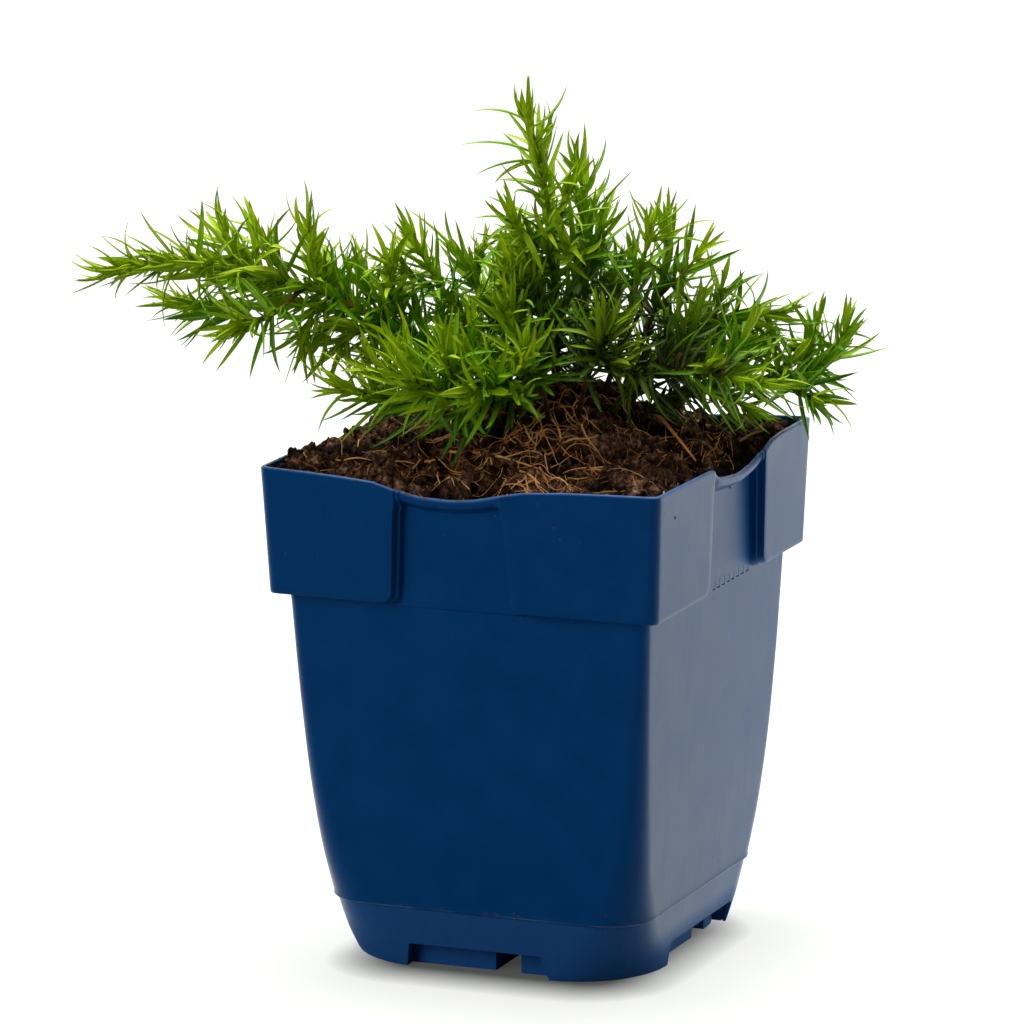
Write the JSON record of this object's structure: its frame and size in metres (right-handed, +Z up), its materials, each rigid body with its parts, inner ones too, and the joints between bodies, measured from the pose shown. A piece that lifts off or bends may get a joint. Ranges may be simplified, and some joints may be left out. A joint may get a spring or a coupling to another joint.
{
  "type": "potted creeping phlox",
  "caption": "Creeping phlox with needle leaves on low sprawling shoots, growing in dark soil in a square blue plastic nursery pot with a deep rim band.",
  "frame": {"origin": "middle of the underside of the pot, on the ground", "axes": "+Z up; -Y out of the wide face of the pot that the picture shows, +X out of its right-hand face"},
  "size_m": [0.1493, 0.1067, 0.1878],
  "materials": {
    "plastic": "satin navy blue",
    "soil": "moist dark peat, rough",
    "foliage": "fresh green leaves, soft sheen"
  },
  "bodies": {
    "root": {"pot": "plastic", "soil": "soil", "shoot_left_long": "foliage", "shoot_left_up": "foliage", "shoot_left_back": "foliage", "shoot_top": "foliage", "shoot_top_second": "foliage", "shoot_right_mid": "foliage", "shoot_right_up": "foliage", "shoot_right_long": "foliage", "shoot_right_front": "foliage", "shoot_right_far": "foliage", "shoot_right_low": "foliage", "shoot_front_left": "foliage", "shoot_low_left": "foliage", "shoot_front_mid": "foliage", "shoot_centre_left": "foliage", "shoot_centre_up": "foliage", "shoot_centre_front": "foliage", "shoot_front_right": "foliage", "shoot_back_up": "foliage", "shoot_back_left": "foliage", "shoot_far_left": "foliage", "shoot_far_back": "foliage", "shoot_far_right": "foliage"}
  },
  "joints": []
}
